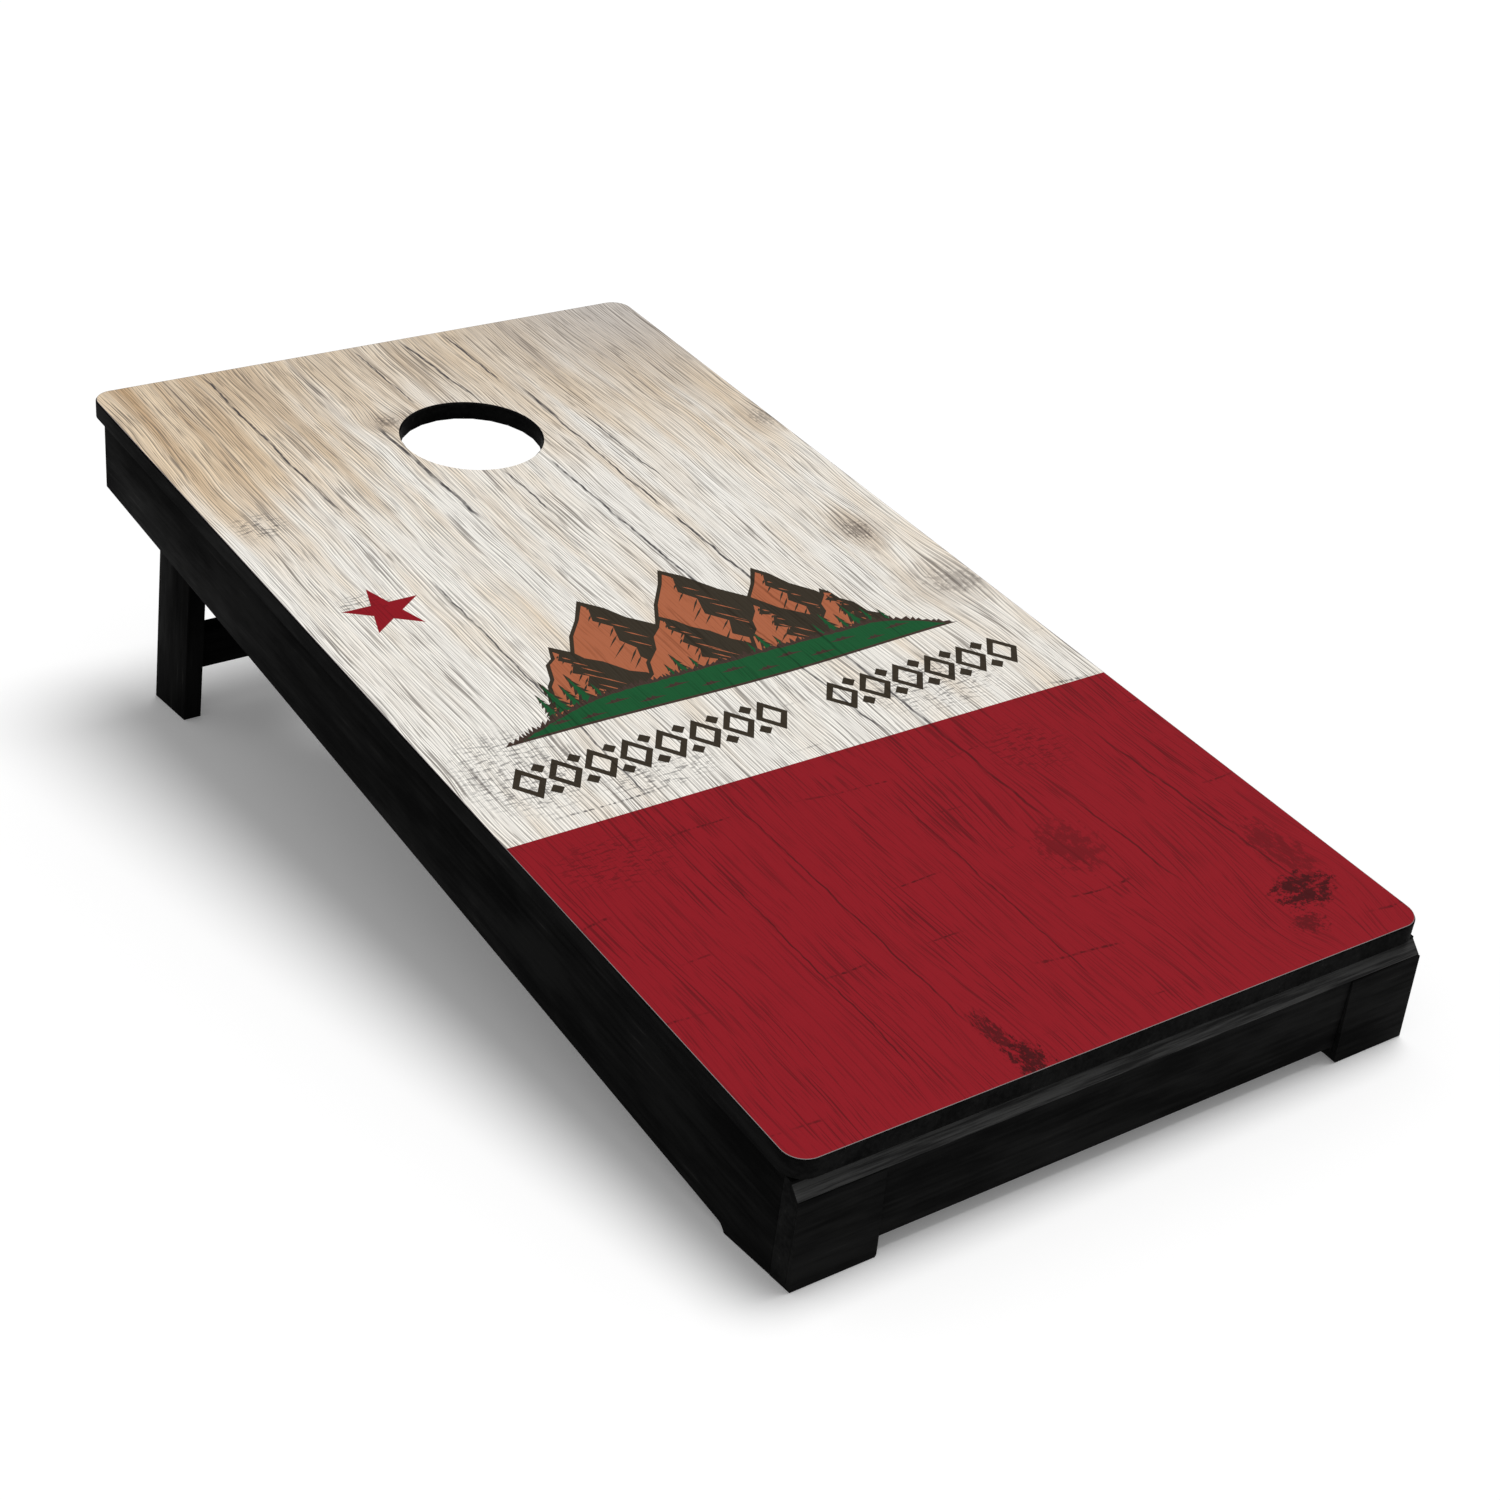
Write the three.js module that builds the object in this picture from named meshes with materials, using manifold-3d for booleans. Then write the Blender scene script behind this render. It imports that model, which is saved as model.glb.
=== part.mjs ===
// Cornhole board: a plywood deck with one bag hole, screwed to a painted plywood frame
// and propped up at the rear by a pair of legs that fold forward under the deck.
//
// World frame, in millimetres: X runs to the right across the board, Y from its low front
// edge to its high rear edge, and Z up. The origin is on the floor under the middle of the
// whole board.
//
// Deck frame, inside the tilted group: the same axes turned by the deck's slope, with x = 0
// on the centre line, y = 0 at the deck's front edge and z = 0 on the deck's top face.
//
// Leg frame, inside the leg group: its origin is on the pivot axis, and -z runs down the legs.

import * as THREE from 'three';
import { mergeVertices } from 'three/addons/utils/BufferGeometryUtils.js';
import Module from 'manifold-3d';

const wasm = await Module();
wasm.setup();

// ---- Driving dimensions ----------------------------------------------------------------

const DECK_WIDTH = 610;
const DECK_LENGTH = 1219;
const PLY = 18;
const DECK_SLOPE = THREE.MathUtils.degToRad(9.6);
const FRONT_EDGE_HEIGHT = 110;

const DECK_CORNER_RADIUS = 20;
const DECK_EDGE_BREAK = 1;
const HOLE_RADIUS = 70;
const HOLE_FROM_REAR = 217;
const WRAP_THICKNESS = 0.4;

const RAIL_INSET = 3;
const REAR_OVERHANG = 29;
const SIDE_DEPTH_FRONT = 120;
const SIDE_DEPTH_REAR = 88;
const SIDE_FOOT_END = 70;
const SIDE_STEP_LENGTH = 8;

const FRONT_RAIL_PROUD = 5;
const FRONT_STEP = 2.2;
const FRONT_CHAMFER = 9.5;
const FRONT_NOTCH_DEPTH = 97;
const FOOT_WIDTH = 75;
const FOOT_CORNER = 4;
const FACING_TOP_THICKNESS = 1.2;
const FACING_BOTTOM_THICKNESS = 5.8;

const REAR_RAIL_DEPTH = 50;
const BRACE_DEPTH = 60;
const BRACE_Y = 600;

const PIVOT_Y = 1066;
const PIVOT_DEPTH = 54;
const LEG_WIDTH = 69;
const LEG_SPLAY = THREE.MathUtils.degToRad(6);
const CROSSBAR_DEPTH = 45;
const CROSSBAR_ABOVE_FLOOR = 50;
const STOP_LENGTH = 28;
const STOP_HEIGHT = 58;
const STOP_GAP = 0.5;

const BOLT_RADIUS = 4;
const BOLT_HEAD_ACROSS_FLATS = 13;
const BOLT_HEAD_HEIGHT = 5.3;
const BOLT_HEAD_CHAMFER = [0.6, 1.6];
const INSERT_RADIUS = 6;
const INSERT_LENGTH = 12;
const INSERT_RECESS = 0.5;
const INSERT_SOCKET_LENGTH = 13.5;
const SPACER_THICKNESS = 1.5;
const SPACER_RADIUS = 11;
const WASHER_THICKNESS = 1.6;
const WASHER_RADIUS = 8.5;

// Glued and screwed joints keep a thin line between their pieces, and the pivot has play.
const JOINT_LINE = 0.3;
const SIDE_PLAY = 0.15;
const BORE_CLEARANCE = 0.1;

// How far a cutting tool runs past the face it cuts.
const OVERRUN = 1;

const ROUND_SEGMENTS = 20;
const SCREW_SEGMENTS = 10;
const HOLE_SEGMENTS = 48;

// A countersunk screw tapers under its head. A pan-head screw sits in a pocket.
const COUNTERSUNK = { head: 4.2, headHeight: 3.2, rim: 0.4, shank: 1.9, pocket: 4.4 };
const PAN_HEAD = { head: 4.3, headHeight: 2.4, rim: 2.4, shank: 1.9, pocket: 4.8 };
const SCREW_POINT = 5;
const DRIVE_WIDTH = 2.6;
const DRIVE_DEPTH = 1.8;
const DECK_SCREW_LENGTH = 38;
const FRAME_SCREW_LENGTH = 45;
const BLOCK_SCREW_LENGTH = 30;
const POCKET_SCREW_LENGTH = 32;
const POCKET_ANGLE = THREE.MathUtils.degToRad(15);
const POCKET_SHOULDER = 16;
const POCKET_MOUTH = 45;
const HEAD_RECESS = 0.2;
const FRONT_RAIL_SCREW_HEIGHTS = [-55, -85];
const STOP_SCREW_HEIGHTS = [18, -18];
const SIDE_DECK_SCREWS_Y = [['front', 110], ['middle', 540], ['rear', 970]];
const END_DECK_SCREW_X = 150;

// ---- Derived places --------------------------------------------------------------------

const HALF_WIDTH = DECK_WIDTH / 2;
const HOLE_Y = DECK_LENGTH - HOLE_FROM_REAR;
const RAIL_OUTER_X = HALF_WIDTH - RAIL_INSET;
const RAIL_INNER_X = RAIL_OUTER_X - PLY;
const RAIL_MIDDLE_X = RAIL_OUTER_X - PLY / 2;
const RAIL_TOP = -PLY - JOINT_LINE;
const RAIL_REAR_Y = DECK_LENGTH - REAR_OVERHANG;
const FRONT_FACE_Y = -FRONT_RAIL_PROUD;
const FRONT_BACK_Y = FRONT_FACE_Y + PLY;
const CHAMFER_TOP = -PLY - FRONT_STEP;
const CHAMFER_BOTTOM = CHAMFER_TOP - FRONT_CHAMFER;
const LEG_OUTER_X = RAIL_INNER_X - SPACER_THICKNESS - 2 * SIDE_PLAY;
const LEG_INNER_X = LEG_OUTER_X - PLY;
const PIVOT_Z = -PIVOT_DEPTH;
const LEG_BORE_RADIUS = (BOLT_RADIUS + BORE_CLEARANCE) / Math.cos(Math.PI / ROUND_SEGMENTS);
const PIVOT_HEIGHT = FRONT_EDGE_HEIGHT + PIVOT_Y * Math.sin(DECK_SLOPE)
  + PIVOT_Z * Math.cos(DECK_SLOPE);
const LEG_TILT = DECK_SLOPE + LEG_SPLAY;

const LEFT = -1;
const RIGHT = 1;
const SIDES = [['left', LEFT], ['right', RIGHT]];

// Height of the floor in the deck frame at a given y, and in the leg frame.
const floorInDeck = (y) => -(FRONT_EDGE_HEIGHT + y * Math.sin(DECK_SLOPE)) / Math.cos(DECK_SLOPE);
const floorInLeg = (y) => -(PIVOT_HEIGHT + y * Math.sin(LEG_TILT)) / Math.cos(LEG_TILT);

// The leg frame's place in the deck frame.
const LEG_FRAME = new THREE.Matrix4().makeRotationX(LEG_SPLAY).setPosition(0, PIVOT_Y, PIVOT_Z);

// ---- Materials -------------------------------------------------------------------------

const paintedPly = new THREE.MeshStandardMaterial({ color: 0x1a1a1a, roughness: 0.62 });
const paintedDeck = new THREE.MeshStandardMaterial({ color: 0x151515, roughness: 0.55 });
const printedVinyl = new THREE.MeshStandardMaterial({ color: 0xe6e0d4, roughness: 0.45 });
const blackScrew = new THREE.MeshStandardMaterial({ color: 0x2b2b2d, roughness: 0.4, metalness: 0.9 });
const zincSteel = new THREE.MeshStandardMaterial({ color: 0xb9bcbf, roughness: 0.35, metalness: 1 });
const brass = new THREE.MeshStandardMaterial({ color: 0xb08d4a, roughness: 0.35, metalness: 1 });
const nylon = new THREE.MeshStandardMaterial({ color: 0x202020, roughness: 0.5 });

// ---- Solids and booleans ---------------------------------------------------------------

function toSolid(geometry) {
  const bare = geometry.clone();
  bare.deleteAttribute('normal');
  bare.deleteAttribute('uv');
  const merged = mergeVertices(bare);
  return new wasm.Manifold(new wasm.Mesh({
    numProp: 3,
    vertProperties: merged.attributes.position.array,
    triVerts: Uint32Array.from(merged.index.array),
  }));
}

function toGeometry(solid) {
  const { vertProperties, triVerts } = solid.getMesh();
  const geometry = new THREE.BufferGeometry();
  geometry.setAttribute('position', new THREE.BufferAttribute(vertProperties, 3));
  geometry.setIndex(new THREE.BufferAttribute(triVerts, 1));
  geometry.computeVertexNormals();
  return geometry;
}

function cutAway(geometry, cutters) {
  let solid = toSolid(geometry);
  for (const cutter of cutters) {
    solid = solid.subtract(toSolid(cutter));
  }
  return toGeometry(solid);
}

// ---- Extrusions along each axis --------------------------------------------------------

const X_AXIS = new THREE.Vector3(1, 0, 0);
const Y_AXIS = new THREE.Vector3(0, 1, 0);
const Z_AXIS = new THREE.Vector3(0, 0, 1);

// The outline's x and y become y and z, and it runs from x = start towards +X.
function extrudeAlongX(outline, start, length) {
  const options = { depth: length, bevelEnabled: false, curveSegments: 8 };
  const geometry = new THREE.ExtrudeGeometry(outline, options);
  geometry.applyMatrix4(new THREE.Matrix4().makeBasis(Y_AXIS, Z_AXIS, X_AXIS));
  return geometry.translate(start, 0, 0);
}

// The outline's x and y become x and z, and it runs from y = start towards +Y.
function extrudeAlongY(outline, start, length) {
  const options = { depth: length, bevelEnabled: false, curveSegments: 4 };
  const geometry = new THREE.ExtrudeGeometry(outline, options);
  geometry.applyMatrix4(new THREE.Matrix4().makeBasis(X_AXIS, Z_AXIS, Y_AXIS.clone().negate()));
  return geometry.translate(0, start + length, 0);
}

// A block under the floor, which cuts feet level, for a frame turned by slope about X with
// its origin at the given height.
function underFloor(slope, height) {
  const depth = 100;
  const block = new THREE.BoxGeometry(2 * DECK_WIDTH, 2 * DECK_LENGTH, depth);
  return block.translate(0, 0, -depth / 2 - height).rotateX(-slope);
}

function rectangle(x0, y0, x1, y1) {
  return new THREE.Shape([
    new THREE.Vector2(x0, y0),
    new THREE.Vector2(x1, y0),
    new THREE.Vector2(x1, y1),
    new THREE.Vector2(x0, y1),
  ]);
}

function roundedRectangle(x0, y0, x1, y1, radius) {
  const shape = new THREE.Shape();
  shape.moveTo(x0 + radius, y0);
  shape.absarc(x1 - radius, y0 + radius, radius, -Math.PI / 2, 0);
  shape.absarc(x1 - radius, y1 - radius, radius, 0, Math.PI / 2);
  shape.absarc(x0 + radius, y1 - radius, radius, Math.PI / 2, Math.PI);
  shape.absarc(x0 + radius, y0 + radius, radius, Math.PI, 1.5 * Math.PI);
  return shape;
}

// A round rod between two x positions, on an axis parallel to X.
function rodAlongX(radius, x0, x1, y, z, segments = ROUND_SEGMENTS) {
  const rod = new THREE.CylinderGeometry(radius, radius, Math.abs(x1 - x0), segments);
  rod.rotateZ(Math.PI / 2);
  return rod.translate((x0 + x1) / 2, y, z);
}

// A ring of (radius, distance) points turned about X, with distance measured from x = start
// towards the side given.
function ringAlongX(points, start, side, y, z) {
  const profile = points.map(([radius, distance]) => new THREE.Vector2(radius, distance));
  profile.push(profile[0].clone());
  const ring = new THREE.LatheGeometry(profile, ROUND_SEGMENTS);
  ring.rotateZ(side === RIGHT ? -Math.PI / 2 : Math.PI / 2);
  return ring.translate(start, y, z);
}

// ---- Screws ----------------------------------------------------------------------------

// Local frame: the middle of the head's top is the origin, and the screw points down -Y.
const SCREW_AXIS = new THREE.Vector3(0, -1, 0);

function screwBody(kind, length) {
  const rimBottom = kind === PAN_HEAD ? kind.headHeight : kind.rim;
  const profile = [
    new THREE.Vector2(0, -length),
    new THREE.Vector2(kind.shank, -length + SCREW_POINT),
    new THREE.Vector2(kind.shank, -kind.headHeight),
    new THREE.Vector2(kind.head, -rimBottom),
    new THREE.Vector2(kind.head, 0),
    new THREE.Vector2(0, 0),
  ];
  const body = new THREE.LatheGeometry(profile, SCREW_SEGMENTS);
  const drive = new THREE.BoxGeometry(DRIVE_WIDTH, 2 * DRIVE_DEPTH, DRIVE_WIDTH);
  return cutAway(body, [drive]);
}

// The hole the screw needs: a pilot a little wider than the shank, and room for the head
// that carries on past it by mouth.
function screwHole(kind, length, mouth) {
  const seat = kind.headHeight + JOINT_LINE;
  const rimBottom = kind === PAN_HEAD ? seat : kind.rim;
  const pilot = kind.shank + BORE_CLEARANCE;
  const profile = [
    new THREE.Vector2(0, -length - JOINT_LINE),
    new THREE.Vector2(pilot, -length + SCREW_POINT),
    new THREE.Vector2(pilot, -seat),
    new THREE.Vector2(kind.pocket, -rimBottom),
    new THREE.Vector2(kind.pocket, mouth),
    new THREE.Vector2(0, mouth),
  ];
  return new THREE.LatheGeometry(profile, SCREW_SEGMENTS);
}

class Screw {
  constructor(name, kind, length, head, direction, mouth = OVERRUN) {
    this.name = name;
    this.kind = kind;
    this.length = length;
    this.head = head;
    this.turn = new THREE.Quaternion().setFromUnitVectors(SCREW_AXIS, direction);
    this.mouth = mouth;
  }

  mesh() {
    const mesh = new THREE.Mesh(screwBody(this.kind, this.length), blackScrew);
    mesh.name = this.name;
    mesh.position.copy(this.head);
    mesh.quaternion.copy(this.turn);
    return mesh;
  }

  hole() {
    const place = new THREE.Matrix4().compose(this.head, this.turn, new THREE.Vector3(1, 1, 1));
    return screwHole(this.kind, this.length, this.mouth).applyMatrix4(place);
  }
}

// A pair of pocket screws through one end of a cross piece. The pocket opens in the face at
// faceY, and towardsRear is +1 when the cross piece lies behind that face, or -1.
function pocketScrews(name, side, endX, faceY, towardsRear, heights) {
  const direction = new THREE.Vector3(
    side * Math.cos(POCKET_ANGLE),
    towardsRear * Math.sin(POCKET_ANGLE),
    0,
  );
  const headTop = POCKET_SHOULDER + PAN_HEAD.headHeight;
  return heights.map((z, index) => {
    const end = new THREE.Vector3(side * endX, faceY + towardsRear * PLY / 2, z);
    const head = end.addScaledVector(direction, -headTop);
    const label = `${name}_${index + 1}`;
    return new Screw(label, PAN_HEAD, POCKET_SCREW_LENGTH, head, direction, POCKET_MOUTH);
  });
}

// Heights of two fasteners on either side of a piece's middle, from its top and bottom.
function pairOfHeights(top, bottom) {
  const middle = (top + bottom) / 2;
  const offset = (top - bottom) / 4;
  return [middle + offset, middle - offset];
}

const DOWN = Z_AXIS.clone().negate();

function deckScrew(name, x, y) {
  const head = new THREE.Vector3(x, y, -HEAD_RECESS);
  return new Screw(`deck_screw_${name}`, COUNTERSUNK, DECK_SCREW_LENGTH, head, DOWN);
}

const REAR_RAIL_MIDDLE_Y = RAIL_REAR_Y - PLY / 2;
const FRONT_LEDGE_MIDDLE_Y = (FRONT_BACK_Y + FRONT_FACE_Y + FRONT_CHAMFER) / 2;
const REAR_RAIL_BOTTOM = RAIL_TOP - REAR_RAIL_DEPTH;
const BRACE_BOTTOM = RAIL_TOP - BRACE_DEPTH;
const BRACE_REAR_Y = BRACE_Y + PLY / 2;
const CROSS_END_X = RAIL_INNER_X - JOINT_LINE;
const STOP_FRONT = LEG_WIDTH / 2 + STOP_GAP;
const STOP_MIDDLE = STOP_FRONT + STOP_LENGTH / 2;
const STOP_INNER_X = CROSS_END_X - PLY;

const sideDeckScrews = {};
const frontRailScrews = {};
const rearRailScrews = {};
const braceScrews = {};
const stopScrews = {};
for (const [label, side] of SIDES) {
  sideDeckScrews[label] = SIDE_DECK_SCREWS_Y.map(([place, y]) =>
    deckScrew(`${label}_${place}`, side * RAIL_MIDDLE_X, y));
  frontRailScrews[label] = FRONT_RAIL_SCREW_HEIGHTS.map((z, index) => new Screw(
    `front_rail_screw_${label}_${index + 1}`,
    COUNTERSUNK,
    FRAME_SCREW_LENGTH,
    new THREE.Vector3(side * RAIL_MIDDLE_X, FRONT_FACE_Y + HEAD_RECESS, z),
    Y_AXIS,
  ));
  rearRailScrews[label] = pocketScrews(`rear_rail_screw_${label}`, side, CROSS_END_X,
    RAIL_REAR_Y - PLY, 1, pairOfHeights(RAIL_TOP, REAR_RAIL_BOTTOM));
  braceScrews[label] = pocketScrews(`brace_screw_${label}`, side, CROSS_END_X,
    BRACE_REAR_Y, -1, pairOfHeights(RAIL_TOP, BRACE_BOTTOM));
  stopScrews[label] = STOP_SCREW_HEIGHTS.map((z, index) => new Screw(
    `stop_block_screw_${label}_${index + 1}`,
    COUNTERSUNK,
    BLOCK_SCREW_LENGTH,
    new THREE.Vector3(side * (STOP_INNER_X + HEAD_RECESS), STOP_MIDDLE, z).applyMatrix4(LEG_FRAME),
    new THREE.Vector3(side, 0, 0),
  ));
}
const frontDeckScrews = SIDES.map(([label, side]) =>
  deckScrew(`front_${label}`, side * END_DECK_SCREW_X, FRONT_LEDGE_MIDDLE_Y));
const rearDeckScrews = SIDES.map(([label, side]) =>
  deckScrew(`rear_${label}`, side * END_DECK_SCREW_X, REAR_RAIL_MIDDLE_Y));
const deckScrews = [
  ...sideDeckScrews.left, ...sideDeckScrews.right, ...frontDeckScrews, ...rearDeckScrews,
];

const holesOf = (screws) => screws.map((screw) => screw.hole());

// ---- Deck and wrap ---------------------------------------------------------------------

// The deck's outline, drawn in by inset all round and with the hole opened by the same.
function deckOutline(inset) {
  const outline = roundedRectangle(
    -HALF_WIDTH + inset,
    inset,
    HALF_WIDTH - inset,
    DECK_LENGTH - inset,
    DECK_CORNER_RADIUS - inset,
  );
  const hole = new THREE.Path();
  hole.absarc(0, HOLE_Y, HOLE_RADIUS + inset, 0, 2 * Math.PI, true);
  outline.holes.push(hole);
  return outline;
}

function deckPanel() {
  const geometry = new THREE.ExtrudeGeometry(deckOutline(DECK_EDGE_BREAK), {
    depth: PLY - 2 * DECK_EDGE_BREAK,
    bevelThickness: DECK_EDGE_BREAK,
    bevelSize: DECK_EDGE_BREAK,
    bevelSegments: 1,
    curveSegments: HOLE_SEGMENTS / 4,
  });
  geometry.translate(0, 0, -PLY + DECK_EDGE_BREAK);
  return cutAway(geometry, holesOf(deckScrews));
}

function deckWrap() {
  const geometry = new THREE.ExtrudeGeometry(deckOutline(DECK_EDGE_BREAK), {
    depth: WRAP_THICKNESS,
    bevelEnabled: false,
    curveSegments: HOLE_SEGMENTS / 4,
  });
  return geometry.translate(0, 0, JOINT_LINE);
}

// ---- Frame -----------------------------------------------------------------------------

// The side rail is deepest at its level front foot, and tapers from there to the rear.
function sideRailOutline() {
  const front = FRONT_BACK_Y + JOINT_LINE;
  const taper = (SIDE_DEPTH_FRONT - SIDE_DEPTH_REAR) / RAIL_REAR_Y;
  const stepEnd = SIDE_FOOT_END + SIDE_STEP_LENGTH;
  const outline = new THREE.Shape();
  outline.moveTo(front, RAIL_TOP);
  outline.lineTo(front, floorInDeck(front));
  outline.lineTo(SIDE_FOOT_END, floorInDeck(SIDE_FOOT_END));
  outline.quadraticCurveTo(
    SIDE_FOOT_END + SIDE_STEP_LENGTH / 2,
    -SIDE_DEPTH_FRONT + taper * stepEnd,
    stepEnd,
    -SIDE_DEPTH_FRONT + taper * stepEnd,
  );
  outline.lineTo(RAIL_REAR_Y, -SIDE_DEPTH_REAR);
  outline.lineTo(RAIL_REAR_Y, RAIL_TOP);
  return outline;
}

function sideRail(label, side) {
  const start = side === RIGHT ? RAIL_INNER_X : -RAIL_OUTER_X;
  const insertSocket = rodAlongX(
    INSERT_RADIUS + BORE_CLEARANCE,
    side * (RAIL_INNER_X - OVERRUN),
    side * (RAIL_INNER_X + INSERT_SOCKET_LENGTH),
    PIVOT_Y,
    PIVOT_Z,
  );
  return cutAway(extrudeAlongX(sideRailOutline(), start, PLY), [
    insertSocket,
    ...holesOf(sideDeckScrews[label]),
    ...holesOf(frontRailScrews[label]),
    ...holesOf(rearRailScrews[label]),
    ...holesOf(braceScrews[label]),
    ...holesOf(stopScrews[label]),
  ]);
}

// The front rail's section: a step at the top, a wide chamfer, and a level-cut bottom.
function frontRailSection() {
  const shoulderY = FRONT_FACE_Y + FRONT_CHAMFER;
  const section = new THREE.Shape();
  section.moveTo(FRONT_BACK_Y, RAIL_TOP);
  section.lineTo(shoulderY, RAIL_TOP);
  section.lineTo(shoulderY, CHAMFER_TOP);
  section.lineTo(FRONT_FACE_Y, CHAMFER_BOTTOM);
  section.lineTo(FRONT_FACE_Y, floorInDeck(FRONT_FACE_Y));
  section.lineTo(FRONT_BACK_Y, floorInDeck(FRONT_BACK_Y));
  return section;
}

// The space under the front rail between its two feet. Its upper corners are rounded, and
// so are the lower inner corners that it leaves on the feet.
function frontNotch() {
  const halfSpan = RAIL_OUTER_X - FOOT_WIDTH;
  const top = -FRONT_NOTCH_DEPTH;
  const bottom = floorInDeck(FRONT_FACE_Y);
  const r = FOOT_CORNER;
  const outline = new THREE.Shape();
  outline.moveTo(-halfSpan - r, bottom - r);
  outline.lineTo(halfSpan + r, bottom - r);
  outline.absarc(halfSpan + r, bottom + r, r, 1.5 * Math.PI, Math.PI, true);
  outline.absarc(halfSpan - r, top - r, r, 0, Math.PI / 2);
  outline.absarc(-halfSpan + r, top - r, r, Math.PI / 2, Math.PI);
  outline.absarc(-halfSpan - r, bottom + r, r, 0, -Math.PI / 2, true);
  return extrudeAlongY(outline, FRONT_FACE_Y - OVERRUN, PLY + 2 * OVERRUN);
}

function frontRail() {
  const blank = extrudeAlongX(frontRailSection(), -RAIL_OUTER_X, 2 * RAIL_OUTER_X);
  return cutAway(blank, [
    frontNotch(),
    ...holesOf(frontDeckScrews),
    ...holesOf(frontRailScrews.left),
    ...holesOf(frontRailScrews.right),
  ]);
}

// A wedge on the face of each front foot, over the heads of the frame screws. It is as wide
// as the foot, thin at the chamfer and thick at the floor, with the foot's rounded corner.
function footFacing(side) {
  const inner = side * (RAIL_OUTER_X - FOOT_WIDTH);
  const outer = side * RAIL_OUTER_X;
  const top = CHAMFER_BOTTOM - JOINT_LINE;
  const bottom = floorInDeck(FRONT_FACE_Y);
  const cornerX = inner + side * FOOT_CORNER;
  const fromAngle = side === RIGHT ? Math.PI : 0;
  const outline = new THREE.Shape();
  outline.moveTo(outer, top);
  outline.lineTo(inner, top);
  outline.absarc(cornerX, bottom + FOOT_CORNER, FOOT_CORNER, fromAngle, 1.5 * Math.PI, side === LEFT);
  outline.lineTo(outer, bottom);

  const back = FRONT_FACE_Y - JOINT_LINE;
  const plate = extrudeAlongY(outline, back - FACING_BOTTOM_THICKNESS, FACING_BOTTOM_THICKNESS);
  const inFront = back - FACING_BOTTOM_THICKNESS - OVERRUN;
  const waste = new THREE.Shape([
    new THREE.Vector2(inFront, top + OVERRUN),
    new THREE.Vector2(inFront, bottom),
    new THREE.Vector2(back - FACING_BOTTOM_THICKNESS, bottom),
    new THREE.Vector2(back - FACING_TOP_THICKNESS, top),
    new THREE.Vector2(back - FACING_TOP_THICKNESS, top + OVERRUN),
  ]);
  return cutAway(plate, [
    extrudeAlongX(waste, -DECK_WIDTH, 2 * DECK_WIDTH),
    underFloor(DECK_SLOPE, FRONT_EDGE_HEIGHT),
  ]);
}

function rearRail() {
  const section = rectangle(RAIL_REAR_Y - PLY, REAR_RAIL_BOTTOM, RAIL_REAR_Y, RAIL_TOP);
  return cutAway(extrudeAlongX(section, -CROSS_END_X, 2 * CROSS_END_X), [
    ...holesOf(rearDeckScrews),
    ...holesOf(rearRailScrews.left),
    ...holesOf(rearRailScrews.right),
  ]);
}

function middleBrace() {
  const section = rectangle(BRACE_Y - PLY / 2, BRACE_BOTTOM, BRACE_REAR_Y, RAIL_TOP);
  return cutAway(extrudeAlongX(section, -CROSS_END_X, 2 * CROSS_END_X), [
    ...holesOf(braceScrews.left),
    ...holesOf(braceScrews.right),
  ]);
}

// The block that stops each leg once it is swung down, square to the leg's rear edge.
function stopBlock(label, side) {
  const half = STOP_HEIGHT / 2;
  const outline = rectangle(STOP_FRONT, -half, STOP_FRONT + STOP_LENGTH, half);
  const start = side === RIGHT ? STOP_INNER_X : -CROSS_END_X;
  const block = extrudeAlongX(outline, start, PLY).applyMatrix4(LEG_FRAME);
  return cutAway(block, holesOf(stopScrews[label]));
}

// ---- Pivot hardware, in the deck frame -------------------------------------------------

function threadedInsert(side) {
  const bore = BOLT_RADIUS + BORE_CLEARANCE;
  const points = [
    [bore, 0],
    [INSERT_RADIUS, 0],
    [INSERT_RADIUS, INSERT_LENGTH],
    [bore, INSERT_LENGTH],
  ];
  return ringAlongX(points, side * (RAIL_INNER_X + INSERT_RECESS), side, PIVOT_Y, PIVOT_Z);
}

function washer(radius, thickness, outerX, side) {
  const bore = BOLT_RADIUS + BORE_CLEARANCE;
  const points = [[bore, 0], [radius, 0], [radius, thickness], [bore, thickness]];
  return ringAlongX(points, side * (outerX - thickness), side, PIVOT_Y, PIVOT_Z);
}

const SPACER_OUTER_X = RAIL_INNER_X - SIDE_PLAY;
const WASHER_OUTER_X = LEG_INNER_X - SIDE_PLAY;
const BOLT_SEAT_X = WASHER_OUTER_X - WASHER_THICKNESS - SIDE_PLAY;

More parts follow.
